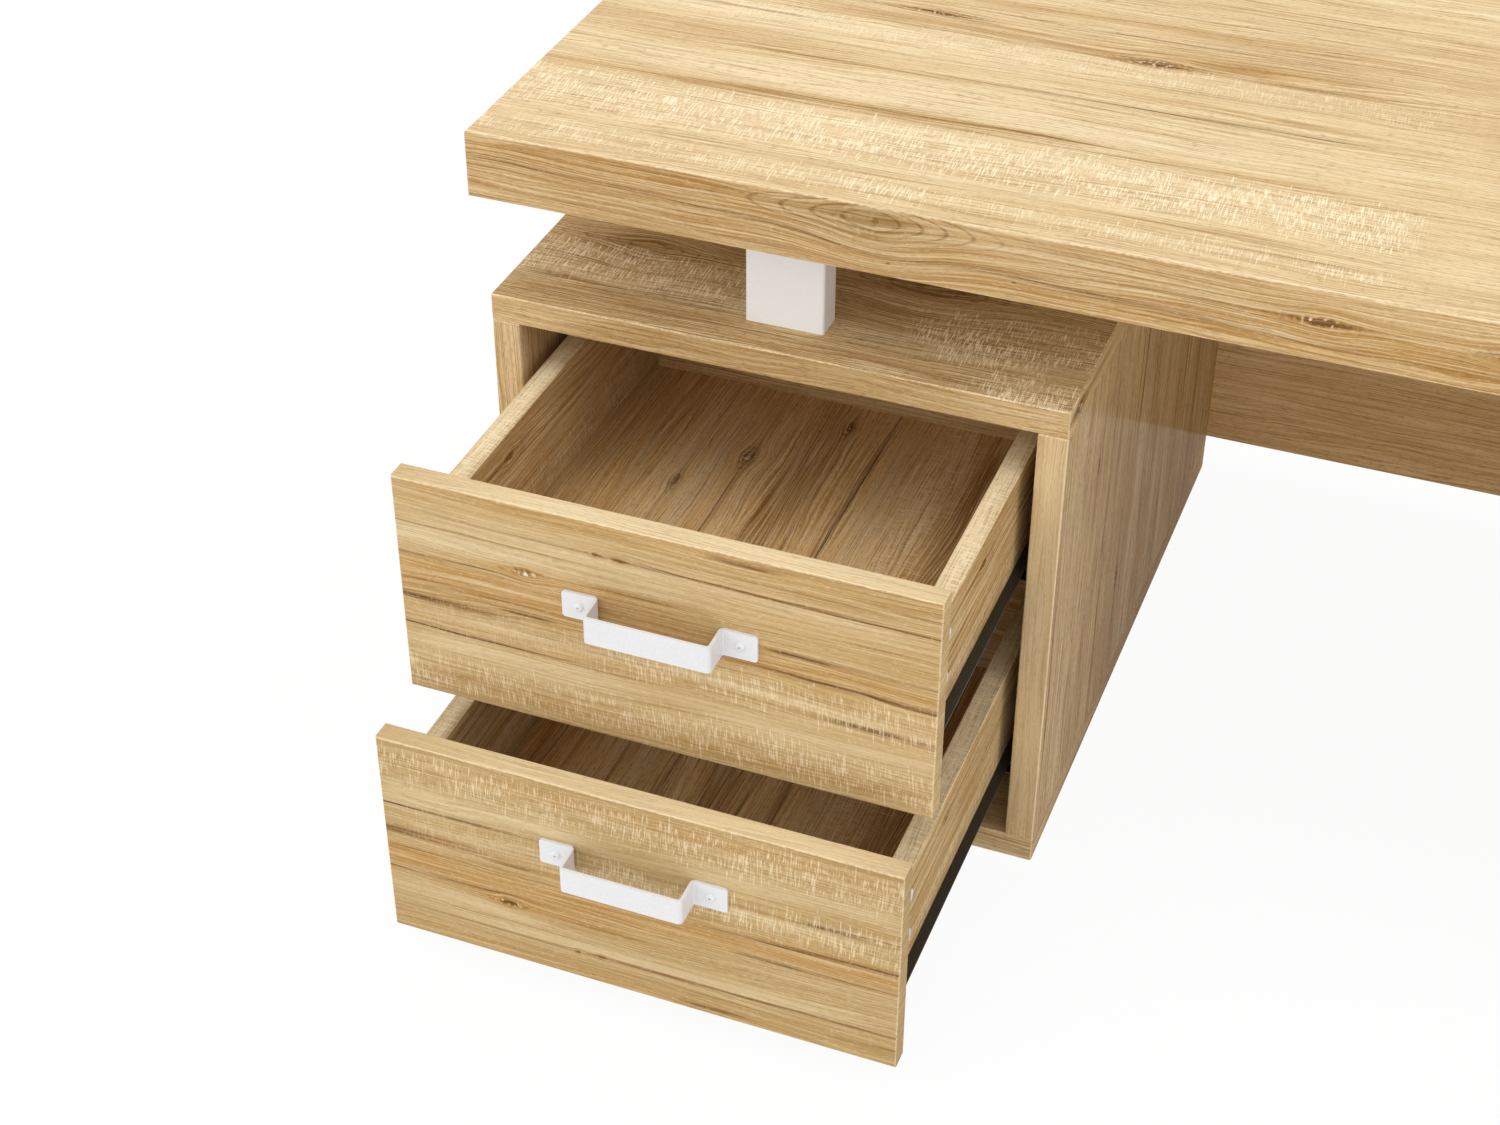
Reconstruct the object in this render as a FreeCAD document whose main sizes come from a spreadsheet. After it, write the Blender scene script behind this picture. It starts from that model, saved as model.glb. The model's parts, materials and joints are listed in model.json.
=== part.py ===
import FreeCAD, Part
import os
import re
import Sketcher

# A twin pedestal executive desk. X runs to the right, Y to the back and Z up, and the origin
# is on the floor under the middle of the desk as it stands, with the left drawers pulled out.

# Driving sizes in millimetres
SIZES = {
    # Whole desk
    "desk_height": 750,
    "knee_width": 600,
    # Desktop slab
    "desktop_thickness": 70,
    "desktop_side_overhang": 14,
    "desktop_front_overhang": 4,
    "desktop_rear_overhang": 4,
    "desktop_edge_radius": 3,
    # Pedestal boards
    "pedestal_width": 600,
    "pedestal_depth": 800,
    "top_board": 30,
    "bottom_board": 30,
    "side_board": 30,
    "board_edge": 1.2,
    # Thin back of a pedestal, held in grooves
    "back_thickness": 5,
    "back_inset": 14,
    "groove_depth": 8,
    "groove_clearance": 0.2,
    # Panel across the back of the knee space
    "modesty_thickness": 18,
    "modesty_floor_gap": 47,
    # Steel spacers that carry the desktop
    "spacer_height": 110,
    "spacer_width": 82,
    "spacer_depth": 35,
    "spacer_wall": 2,
    "spacer_corner_radius": 3,
    "spacer_from_side": 256,
    "spacer_from_end": 46,
    # Bolts through the spacers
    "bolt_diameter": 10,
    "bolt_head_width": 17,
    "bolt_head_height": 6.4,
    "bolt_engagement": 40,
    # Loose tongues glued into the joints of the boards
    "tongue_thickness": 4,
    "tongue_depth": 9,
    "tongue_stop": 40,
    # Cams that pull the drawer fronts onto the drawer sides
    "cam_diameter": 15,
    "cam_depth": 12.5,
    "cam_setback": 41,
    "lower_cam_share": 0.4,
    "upper_cam_share": 0.76,
    "fastener_clearance": 0.15,
    # Drawer fronts, inset between the pedestal boards
    "front_thickness": 22,
    "front_side_gap": 2,
    "front_top_gap": 3,
    "front_middle_gap": 6,
    "front_bottom_gap": 3,
    "front_edge_radius": 2,
    # Drawer boxes
    "box_rise": 55,
    "box_length": 540,
    "box_top_drop": 50,
    "box_side_thickness": 22,
    "box_back_thickness": 22,
    "box_bottom_thickness": 6,
    "box_edge": 0.8,
    # How far the left drawers stand open
    "upper_pull": 280,
    "lower_pull": 357,
    # Bent strip handles
    "handle_length": 194,
    "handle_grip_length": 126,
    "handle_height": 29,
    "handle_standoff": 33.5,
    "handle_strip": 3,
    "handle_bend_radius": 2,
    "handle_corner": 2,
    "upper_handle_drop": 98,
    "lower_handle_drop": 87,
    # Roller runners
    "runner_gap": 15,
    "runner_length": 500,
    "runner_setback": 2,
    "runner_sheet": 1.2,
    "runner_rise": 29,
    "runner_foot": 12,
    "runner_flange": 10.5,
    "track_floor_height": 5,
    "track_height": 21,
    "track_reach": 11.5,
    "track_lip_start": 28,
    "roller_diameter": 18,
    "roller_width": 10,
    "roller_from_end": 12,
    "roller_clearance": 0.3,
}

# Places and sizes that follow from the driving ones
PLACES = {
    "desk_width": "knee_width + 2 * pedestal_width + 2 * desktop_side_overhang",
    "desktop_depth": "desktop_front_overhang + pedestal_depth + modesty_thickness + desktop_rear_overhang",
    "pedestal_height": "desk_height - desktop_thickness - spacer_height",
    "opening_width": "pedestal_width - 2 * side_board",
    "opening_height": "pedestal_height - top_board - bottom_board",
    "left_pedestal_x": "-knee_width / 2 - pedestal_width",
    "right_pedestal_x": "knee_width / 2",
    "front_reach": "max(upper_pull; lower_pull) + handle_standoff",
    "front_y": "(front_reach + desktop_front_overhang - desktop_depth) / 2",
    "rear_y": "front_y + pedestal_depth",
    "front_width": "opening_width - 2 * front_side_gap",
    "front_height": "(opening_height - front_top_gap - front_middle_gap - front_bottom_gap) / 2",
    "lower_front_z": "bottom_board + front_bottom_gap",
    "upper_front_z": "lower_front_z + front_height + front_middle_gap",
    "box_width": "opening_width - 2 * runner_gap",
    "box_height": "front_height - box_rise - box_top_drop",
    "box_side_height": "box_height - box_bottom_thickness",
    "lower_cam_height": "lower_cam_share * box_height",
    "upper_cam_height": "upper_cam_share * box_height",
    "bolt_hole": "bolt_diameter + 2 * fastener_clearance",
    "bolt_head_reach": "bolt_head_width / sqrt(3)",
    "tongue_run": "pedestal_depth - 2 * tongue_stop",
    "tongue_slot": "tongue_thickness + 2 * groove_clearance",
    "tongue_slot_depth": "tongue_depth + groove_clearance",
    "back_slot": "back_thickness + 2 * groove_clearance",
    "back_slot_y": "pedestal_depth - back_inset - back_thickness - groove_clearance",
    "modesty_tongue_run": "opening_height + bottom_board - modesty_floor_gap - 2 * tongue_stop",
    "cam_hole": "cam_diameter + 2 * fastener_clearance",
    "front_roller_z": "runner_rise - runner_sheet - roller_clearance - roller_diameter / 2",
    "rear_roller_z": "track_floor_height + runner_sheet + roller_clearance + roller_diameter / 2",
}


def cell_name(name):
    """A size's name with the sheet that holds it, for use in a formula."""
    if name in SIZES:
        return "sizes." + name
    return "places." + name if name in PLACES else name


def tied(formula):
    """The formula with each name in it pointed at its sheet."""
    return re.sub(r"[a-z][a-z_]*", lambda word: cell_name(word.group()), formula)


def tie(item, prop, formula):
    """Bind a property of an object to a formula on the sheets."""
    item.setExpression(prop, tied(formula))


doc = FreeCAD.newDocument("desk")
sizes = doc.addObject("Spreadsheet::Sheet", "sizes")
for row, (name, size) in enumerate(SIZES.items(), 1):
    sizes.set(f"A{row}", name)
    sizes.set(f"B{row}", str(size))
    sizes.setAlias(f"B{row}", name)
places = doc.addObject("Spreadsheet::Sheet", "places")
for row, (name, formula) in enumerate(PLACES.items(), 1):
    places.set(f"A{row}", name)
    places.set(f"B{row}", "=" + tied(formula).replace("places.", ""))
    places.setAlias(f"B{row}", name)
doc.recompute()

nodes = []


def value(formula):
    """What a formula comes to at the present sizes."""
    return float(sizes.evalExpression(tied(formula)))


def body(label, x="0", y="0", z="0"):
    """A new sub-part with its origin at a place given by three formulas."""
    new = doc.addObject("PartDesign::Body", label)
    new.Label = label
    for axis, formula in zip("xyz", (x, y, z)):
        tie(new, f"Placement.Base.{axis}", formula)
    nodes.append(new)
    return new


def sketch(owner, across, start="0"):
    """An empty sketch on one of the body's own planes, square to the named axis and moved along it."""
    role = {"x": "YZ_Plane", "y": "XZ_Plane", "z": "XY_Plane"}[across]
    plane = next(item for item in owner.Origin.OriginFeatures if item.Role == role)
    new = owner.newObject("Sketcher::SketchObject", owner.Label + "_sketch")
    new.AttachmentSupport = [(plane, "")]
    new.MapMode = "FlatFace"
    tie(new, "AttachmentOffset.Base.z", f"-({start})" if across == "y" else start)
    return new


def fix_point(on, element, point, x, y):
    """Tie a point of a sketch to two formulas."""
    for kind, formula in (("DistanceX", x), ("DistanceY", y)):
        number = on.addConstraint(Sketcher.Constraint(kind, -1, 1, element, point, value(formula)))
        tie(on, f"Constraints[{number}]", formula)


def outline(on, corners):
    """Draw a closed outline whose corners are pairs of formulas."""
    points = [FreeCAD.Vector(value(x), value(y), 0) for x, y in corners]
    first = on.GeometryCount
    following = points[1:] + points[:1]
    for start, end in zip(points, following):
        on.addGeometry(Part.LineSegment(start, end), False)
    for number in range(len(points)):
        after = first + (number + 1) % len(points)
        on.addConstraint(Sketcher.Constraint("Coincident", first + number, 2, after, 1))
    for number, (x, y) in enumerate(corners):
        fix_point(on, first + number, 1, x, y)


def rectangle(on, left, low, width, height):
    """Draw a rectangle from its lowest corner and its two sizes, as formulas."""
    right, high = f"{left} + {width}", f"{low} + {height}"
    outline(on, [(left, low), (right, low), (right, high), (left, high)])


def circle(on, x, y, diameter):
    """Draw a circle with its centre and diameter as formulas."""
    centre = FreeCAD.Vector(value(x), value(y), 0)
    number = on.addGeometry(Part.Circle(centre, FreeCAD.Vector(0, 0, 1), value(diameter) / 2), False)
    fix_point(on, number, 3, x, y)
    size = on.addConstraint(Sketcher.Constraint("Diameter", number, value(diameter)))
    tie(on, f"Constraints[{size}]", diameter)


def extrude(owner, kind, profile, length):
    """Pad or pocket a sketch by a length towards the positive side of its plane."""
    new = owner.newObject("PartDesign::" + kind, f"{owner.Label}_{kind.lower()}")
    new.Profile = profile
    across_y = profile.AttachmentSupport[0][0].Role == "XZ_Plane"
    new.Reversed = across_y if kind == "Pad" else not across_y
    tie(new, "Length", length)
    return new


def drill(owner, across, start, depth, diameter, centres):
    """Sink round holes from a plane towards the positive side of the named axis."""
    marks = sketch(owner, across, start)
    for x, y in centres:
        circle(marks, x, y, diameter)
    return extrude(owner, "Pocket", marks, depth)


def rods(owner, across, start, length, diameter, centres):
    """Stand round rods on a plane, towards the positive side of the named axis."""
    marks = sketch(owner, across, start)
    for x, y in centres:
        circle(marks, x, y, diameter)
    return extrude(owner, "Pad", marks, length)


def soften(owner, kind, base, size, chosen=None):
    """Fillet or chamfer the chosen edges of a feature, or every edge."""
    doc.recompute()
    new = owner.newObject("PartDesign::" + kind, f"{owner.Label}_{kind.lower()}")
    edges = [f"Edge{number}" for number, edge in enumerate(base.Shape.Edges, 1)
             if chosen is None or chosen(edge)]
    new.Base = (base, edges)
    tie(new, "Radius" if kind == "Fillet" else "Size", size)
    return new


def board(label, corner, size, edge="board_edge", kind="Chamfer", chosen=None):
    """A board from its lowest corner and its sizes along X, Y and Z, its edges softened by a named size."""
    new = body(label, *corner)
    face = sketch(new, "z")
    rectangle(face, "0", "0", size[0], size[1])
    blank = extrude(new, "Pad", face, size[2])
    if edge:
        soften(new, kind, blank, edge, chosen)
    return new


def from_both_ends(inset, length):
    """Two places, each as far from its end of a length."""
    return inset, f"{length} - {inset}"


def make_desktop():
    """The thick slab, its top edges rounded, with the blind holes that its bolts screw into."""
    slab = board("desktop", ("-desk_width / 2", "front_y - desktop_front_overhang",
                             "pedestal_height + spacer_height"),
                 ("desk_width", "desktop_depth", "desktop_thickness"),
                 "desktop_edge_radius", "Fillet", lies_beyond("z", "desktop_thickness / 2"))
    drill(slab, "z", "0", "bolt_engagement", "bolt_hole",
          [(f"desk_width / 2 + {x}", f"desktop_front_overhang + {y}") for x, y in bolt_centres()])


def spacer_corners():
    """Each spacer's name and its front left corner, from the middle of the desk's front."""
    corners = {}
    for end, y in zip(("front", "rear"), from_both_ends("spacer_from_end", "pedestal_depth")):
        low = y if end == "front" else f"{y} - spacer_depth"
        corners[f"left_{end}_spacer"] = ("left_pedestal_x + spacer_from_side", low)
        corners[f"right_{end}_spacer"] = ("-left_pedestal_x - spacer_from_side - spacer_width", low)
    return corners


def bolt_centres():
    """The centre of each bolt, from the middle of the desk's front."""
    return [(f"{x} + spacer_width / 2", f"{y} + spacer_depth / 2") for x, y in spacer_corners().values()]


def make_spacers():
    """Rectangular steel tubes that stand between the pedestals and the desktop."""
    for label, (x, y) in spacer_corners().items():
        tube = body(label, x, f"front_y + {y}", "pedestal_height")
        wall = sketch(tube, "z")
        rectangle(wall, "0", "0", "spacer_width", "spacer_depth")
        blank = extrude(tube, "Pad", wall, "spacer_height")
        soften(tube, "Fillet", blank, "spacer_corner_radius", runs_along("z"))
        hollow = sketch(tube, "z")
        rectangle(hollow, "spacer_wall", "spacer_wall",
                  "spacer_width - 2 * spacer_wall", "spacer_depth - 2 * spacer_wall")
        extrude(tube, "Pocket", hollow, "spacer_height")


def runs_along(axis):
    """A test for edges that run straight along an axis."""
    def test(edge):
        return type(edge.Curve).__name__ == "Line" and abs(getattr(edge.Curve.Direction, axis)) > 1 / 2
    return test


def lies_beyond(axis, place, low=False):
    """A test for edges that lie wholly past a place on an axis, or wholly before it."""
    def test(edge):
        span, limit = edge.BoundBox, value(place)
        if low:
            return getattr(span, axis.upper() + "Max") < limit
        return getattr(span, axis.upper() + "Min") > limit
    return test


def make_bolts():
    """The hexagon bolts from inside the pedestals, up through the spacers and into the desktop."""
    bolts = body("desktop_bolts", "0", "front_y", "pedestal_height - top_board")
    rods(bolts, "z", "0", "top_board + spacer_height + bolt_engagement - fastener_clearance",
         "bolt_diameter", bolt_centres())
    heads = sketch(bolts, "z", "-bolt_head_height")
    for x, y in bolt_centres():
        outline(heads, [(f"{x} + {u} * bolt_head_reach", f"{y} + {v} * bolt_head_width / 2")
                        for u, v in ((1, 0), (1 / 2, 1), (-1 / 2, 1), (-1, 0), (-1 / 2, -1), (1 / 2, -1))])
    extrude(bolts, "Pad", heads, "bolt_head_height")


def side_middles():
    """The middle of each of a pedestal's two side boards, from its left side."""
    return "side_board / 2", "pedestal_width - side_board / 2"


def groove(owner, across, start, depth, corner, size):
    """Cut a straight groove from a plane towards the positive side of the named axis."""
    cut = sketch(owner, across, start)
    rectangle(cut, *corner, *size)
    extrude(owner, "Pocket", cut, depth)


def sunk(face, depth, from_far):
    """Where a cut of a certain depth starts, if it is sunk from a board's far face or its near one."""
    return f"{face} - ({depth})" if from_far else "0"


def make_flat_boards(side, x):
    """A pedestal's top and bottom boards, which lie over and under its sides."""
    size = ("pedestal_width", "pedestal_depth")
    top = board(f"{side}_pedestal_top", (x, "front_y", "pedestal_height - top_board"), (*size, "top_board"))
    bottom = board(f"{side}_pedestal_bottom", (x, "front_y", "0"), (*size, "bottom_board"))
    for piece, is_bottom in ((top, False), (bottom, True)):
        groove(piece, "z", sunk("bottom_board", "groove_depth", is_bottom), "groove_depth",
               ("side_board - groove_depth", "back_slot_y"),
               ("opening_width + 2 * groove_depth", "back_slot"))
        for middle in side_middles():
            groove(piece, "z", sunk("bottom_board", "tongue_slot_depth", is_bottom), "tongue_slot_depth",
                   (f"{middle} - tongue_slot / 2", "tongue_stop - groove_clearance"),
                   ("tongue_slot", "tongue_run + 2 * groove_clearance"))
    own = [(f"{bx} - {x}", by) for bx, by in bolt_centres() if (value(bx) < 0) == (side == "left")]
    drill(top, "z", "0", "top_board", "bolt_hole", own)


def make_side_board(label, x, inner_right):
    """An upright side board, grooved on its inner face, at both ends and down its rear edge."""
    piece = board(label, (x, "front_y", "bottom_board"), ("side_board", "pedestal_depth", "opening_height"))
    groove(piece, "x", sunk("side_board", "groove_depth", inner_right), "groove_depth",
           ("back_slot_y", "0"), ("back_slot", "opening_height"))
    middle = "(side_board - tongue_slot) / 2"
    for at_top in (False, True):
        groove(piece, "z", sunk("opening_height", "tongue_slot_depth", at_top), "tongue_slot_depth",
               (middle, "tongue_stop - groove_clearance"),
               ("tongue_slot", "tongue_run + 2 * groove_clearance"))
    groove(piece, "y", sunk("pedestal_depth", "tongue_slot_depth", True), "tongue_slot_depth",
           (middle, "modesty_floor_gap + tongue_stop - bottom_board - groove_clearance"),
           ("tongue_slot", "modesty_tongue_run + 2 * groove_clearance"))


def make_back(side, x):
    """A pedestal's thin back, set in the grooves of the four boards round it."""
    tongue = "groove_depth - groove_clearance"
    piece = body(f"{side}_pedestal_back", f"{x} + side_board - ({tongue})",
                 "front_y + pedestal_depth - back_inset - back_thickness", f"bottom_board - ({tongue})")
    face = sketch(piece, "z")
    rectangle(face, "0", "0", f"opening_width + 2 * ({tongue})", "back_thickness")
    extrude(piece, "Pad", face, f"opening_height + 2 * ({tongue})")


def make_pedestals():
    """Both pedestals, mirror images of each other."""
    for side in ("left", "right"):
        x = f"{side}_pedestal_x"
        make_flat_boards(side, x)
        far = f"{x} + pedestal_width - side_board"
        outer, inner = (x, far) if side == "left" else (far, x)
        make_side_board(f"{side}_pedestal_outer_side", outer, side == "left")
        make_side_board(f"{side}_pedestal_inner_side", inner, side == "right")
        make_back(side, x)


def make_pedestal_tongues():
    """The loose tongues glued between the side boards and the boards over and under them."""
    tongues = body("pedestal_tongues", "0", "front_y + tongue_stop", "0")
    for joint in ("bottom_board", "pedestal_height - top_board"):
        marks = sketch(tongues, "z", f"{joint} - tongue_depth")
        for side in ("left", "right"):
            for middle in side_middles():
                rectangle(marks, f"{side}_pedestal_x + {middle} - tongue_thickness / 2", "0",
                          "tongue_thickness", "tongue_run")
        extrude(tongues, "Pad", marks, "2 * tongue_depth")


def make_modesty_panel():
    """The panel that closes the desk's back, and the tongues that join it to the pedestals' sides."""
    panel = board("modesty_panel", ("left_pedestal_x", "rear_y", "modesty_floor_gap"),
                  ("-2 * left_pedestal_x", "modesty_thickness", "pedestal_height - modesty_floor_gap"))
    tongues = body("modesty_tongues", "left_pedestal_x", "rear_y - tongue_depth",
                   "modesty_floor_gap + tongue_stop")
    marks = sketch(tongues, "z")
    for side in ("left", "right"):
        for middle in side_middles():
            place = f"{side}_pedestal_x - left_pedestal_x + {middle}"
            groove(panel, "y", "0", "tongue_slot_depth",
                   (f"{place} - tongue_slot / 2", "tongue_stop - groove_clearance"),
                   ("tongue_slot", "modesty_tongue_run + 2 * groove_clearance"))
            rectangle(marks, f"{place} - tongue_thickness / 2", "0", "tongue_thickness", "2 * tongue_depth")
    extrude(tongues, "Pad", marks, "modesty_tongue_run")


def make_front(label, x, y, z):
    """A drawer front, with the edges of its front face rounded."""
    board(f"{label}_front", (f"{x} - front_width / 2", y, z),
          ("front_width", "front_thickness", "front_height"),
          "front_edge_radius", "Fillet", lies_beyond("y", "front_thickness / 2", low=True))


def cam_heights(above):
    """The heights of the two cams in each drawer side, over a height above the box's underside."""
    return [f"lower_cam_height - {above}", f"upper_cam_height - {above}"]


def make_box(label, x, y, z):
    """A drawer's two sides, back and bottom."""
    back_y = f"{y} + front_thickness"
    side_z = f"{z} + box_bottom_thickness"
    for side, left, is_right in (("left", f"{x} - box_width / 2", False),
                                 ("right", f"{x} + box_width / 2 - box_side_thickness", True)):
        piece = board(f"{label}_{side}_side", (left, back_y, side_z),
                      ("box_side_thickness", "box_length", "box_side_height"), "box_edge",
                      chosen=lies_beyond("z", "box_side_height / 2"))
        drill(piece, "x", sunk("box_side_thickness", "cam_depth", is_right), "cam_depth",
              "cam_hole",
              [("cam_setback", height) for height in cam_heights("box_bottom_thickness")])
    board(f"{label}_back", (f"{x} - box_width / 2 + box_side_thickness",
                            f"{back_y} + box_length - box_back_thickness", side_z),
          ("box_width - 2 * box_side_thickness", "box_back_thickness", "box_side_height"), "box_edge",
          chosen=lies_beyond("z", "box_side_height / 2"))
    board(f"{label}_bottom", (f"{x} - box_width / 2", back_y, z),
          ("box_width", "box_length", "box_bottom_thickness"), edge=None)


def make_cams(label, x, y, z):
    """The cams sunk in the outer faces of a drawer's two sides, just behind its front."""
    cams = body(f"{label}_cams", x, f"{y} + front_thickness", z)
    depth = "cam_depth - fastener_clearance"
    for low in ("-box_width / 2", f"box_width / 2 - ({depth})"):
        rods(cams, "x", low, depth, "cam_diameter", [("cam_setback", height) for height in cam_heights("0")])


def make_handle(label, x, y, z):
    """A flat strip bent into a hat section, whose two feet lie on a drawer front."""
    handle = body(f"{label}_handle", x, y, z)
    end, grip, strip = "handle_length / 2", "handle_grip_length / 2", "handle_strip"
    inner_x, inner_y = f"{grip} - {strip}", f"{strip} - handle_standoff"
    right = [(inner_x, inner_y), (inner_x, "0"), (end, "0"), (end, f"-{strip}"),
             (grip, f"-{strip}"), (grip, "-handle_standoff")]
    left = [(f"-({u})", v) for u, v in reversed(right)]
    section = sketch(handle, "z", "-handle_height / 2")
    outline(section, right + left)
    blank = extrude(handle, "Pad", section, "handle_height")
    last = soften(handle, "Fillet", blank, "handle_bend_radius + handle_strip",
                  stands_at((grip, "-handle_standoff"), (inner_x, "0")))
    last = soften(handle, "Fillet", last, "handle_bend_radius",
                  stands_at((grip, f"-{strip}"), (inner_x, inner_y)))
    foot = value(f"{end} - {strip}")
    soften(handle, "Chamfer", last, "handle_corner",
           lambda edge: runs_along("y")(edge) and abs(edge.CenterOfMass.x) > foot)


def stands_at(*places):
    """A test for upright edges at certain places, on either side of the middle."""
    def test(edge):
        middle = edge.CenterOfMass
        return runs_along("z")(edge) and any(
            max(abs(abs(middle.x) - value(x)), abs(middle.y - value(y))) < value("fastener_clearance")
            for x, y in places)
    return test


def both_sides(owner, kind_start, length, profile):
    """Pad a profile and its mirror image along the drawer, as one feature."""
    section = sketch(owner, "y", kind_start)
    for side in (-1, 1):
        outline(section, [(f"{side} * ({u})", v) for u, v in profile])
    extrude(owner, "Pad", section, length)


def rollers(owner, y, z, inner):
    """A roller on each side of a drawer, with its inner face at a distance from the middle."""
    for start in (inner, f"-({inner}) - roller_width"):
        rods(owner, "x", start, "roller_width", "roller_diameter", [(y, z)])


def make_drawer_runners(label, x, y, z):
    """The runner members that wrap the lower edges of a drawer box, with a roller at the rear."""
    pair = body(f"{label}_runners", x, f"{y} + front_thickness", z)
    wall = "box_width / 2"
    both_sides(pair, "0", "runner_length", [
        (f"{wall} - runner_foot", "-runner_sheet"), (f"{wall} + runner_sheet", "-runner_sheet"),
        (f"{wall} + runner_sheet", "runner_rise - runner_sheet"),
        (f"{wall} + runner_flange", "runner_rise - runner_sheet"), (f"{wall} + runner_flange", "runner_rise"),
        (wall, "runner_rise"), (wall, "0"), (f"{wall} - runner_foot", "0")])
    rollers(pair, "runner_length - roller_from_end", "rear_roller_z", f"{wall} + runner_sheet")


def make_cabinet_runners(label, x, z):
    """The runner members on a pedestal's sides, each a channel with a roller at the front."""
    pair = body(f"{label}_cabinet_runners", x, "front_y + front_thickness + runner_setback", z)
    wall = "opening_width / 2"
    low, high = "track_floor_height", "track_floor_height + track_height"
    both_sides(pair, "0", "runner_length", [
        (wall, low), (f"{wall} - track_reach", low), (f"{wall} - track_reach", f"{low} + runner_sheet"),
        (f"{wall} - runner_sheet", f"{low} + runner_sheet"), (f"{wall} - runner_sheet", high), (wall, high)])
    both_sides(pair, "track_lip_start", "runner_length - track_lip_start", [
        (f"{wall} - runner_sheet", high), (f"{wall} - runner_sheet", f"{high} - runner_sheet"),
        (f"{wall} - track_reach", f"{high} - runner_sheet"), (f"{wall} - track_reach", high)])
    rollers(pair, "roller_from_end", "front_roller_z", f"{wall} - runner_sheet - roller_width")


def make_drawers():
    """Four drawers, of which the left two stand open."""
    for side in ("left", "right"):
        for level in ("upper", "lower"):
            label = f"{side}_{level}_drawer"
            x = f"{side}_pedestal_x + pedestal_width / 2"
            y = f"front_y - {level}_pull" if side == "left" else "front_y"
            z = f"{level}_front_z"
            box_z = f"{z} + box_rise"
            make_front(label, x, y, z)
            make_box(label, x, y, box_z)
            make_cams(label, x, y, box_z)
            make_handle(label, x, y, f"{z} + front_height - {level}_handle_drop")
            make_drawer_runners(label, x, y, box_z)
            make_cabinet_runners(label, x, box_z)


def check_document():
    """Stop where an object has failed, a shape is bad or a cut has taken nothing away."""
    for item in doc.Objects:
        if {"Invalid", "Error"} & set(item.State):
            raise RuntimeError(f"{item.Name} failed: {item.State}")
        if item.TypeId == "PartDesign::Pocket" and item.Shape.Volume >= item.BaseFeature.Shape.Volume:
            raise RuntimeError(f"{item.Name} cuts nothing")
    for node in nodes:
        if node.Shape.isNull() or not node.Shape.isValid() or not node.Shape.Solids:
            raise RuntimeError(f"{node.Label} has no valid solid")


def write_parts():
    """Write each sub-part to its own file."""
    os.makedirs("parts", exist_ok=True)
    for node in nodes:
        node.Shape.exportStep(f"parts/{node.Label}.step")
        print(node.Label, len(node.Shape.Solids), round(node.Shape.Volume))


make_desktop()
make_spacers()
make_bolts()
make_pedestals()
make_pedestal_tongues()
make_modesty_panel()
make_drawers()
doc.recompute()
check_document()
write_parts()
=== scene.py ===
import bmesh
import bpy
import json
import math
from mathutils import Color, Matrix, Vector

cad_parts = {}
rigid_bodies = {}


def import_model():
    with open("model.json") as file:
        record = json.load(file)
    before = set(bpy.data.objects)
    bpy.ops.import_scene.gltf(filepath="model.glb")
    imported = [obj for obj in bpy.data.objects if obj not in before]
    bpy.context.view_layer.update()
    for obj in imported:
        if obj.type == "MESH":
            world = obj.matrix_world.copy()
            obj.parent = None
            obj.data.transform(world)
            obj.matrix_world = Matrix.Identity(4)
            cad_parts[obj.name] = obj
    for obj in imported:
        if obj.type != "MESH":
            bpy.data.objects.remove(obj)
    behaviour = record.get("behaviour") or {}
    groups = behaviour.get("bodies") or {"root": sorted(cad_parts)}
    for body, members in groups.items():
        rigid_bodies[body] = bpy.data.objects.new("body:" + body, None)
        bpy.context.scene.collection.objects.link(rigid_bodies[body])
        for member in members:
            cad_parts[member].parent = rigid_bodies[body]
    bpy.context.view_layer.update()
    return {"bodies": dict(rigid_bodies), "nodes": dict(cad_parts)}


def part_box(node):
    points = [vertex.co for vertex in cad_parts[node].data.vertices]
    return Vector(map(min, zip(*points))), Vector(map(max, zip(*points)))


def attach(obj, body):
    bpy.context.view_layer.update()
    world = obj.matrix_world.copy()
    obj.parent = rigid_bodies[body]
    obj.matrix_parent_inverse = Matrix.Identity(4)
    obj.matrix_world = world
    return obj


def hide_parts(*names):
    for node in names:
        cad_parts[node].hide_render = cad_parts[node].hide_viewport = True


# A twin pedestal desk in pale oak, with white handles and spacers and two drawers pulled out.
# Lengths are metres, but millimetres in the faces' figures. X runs to the right, Y to the back, Z up.

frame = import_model()

MM = 0.001
SIDES = ("left", "right")
DRAWERS = [name for name in frame["bodies"] if name.endswith("_drawer")]


# Shader graphs
# Where the Mix node has its factor, its two colours and the colour that it gives.
MIX_FACTOR = 0
MIX_FIRST = 6
MIX_SECOND = 7
MIX_RESULT = 2


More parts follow.
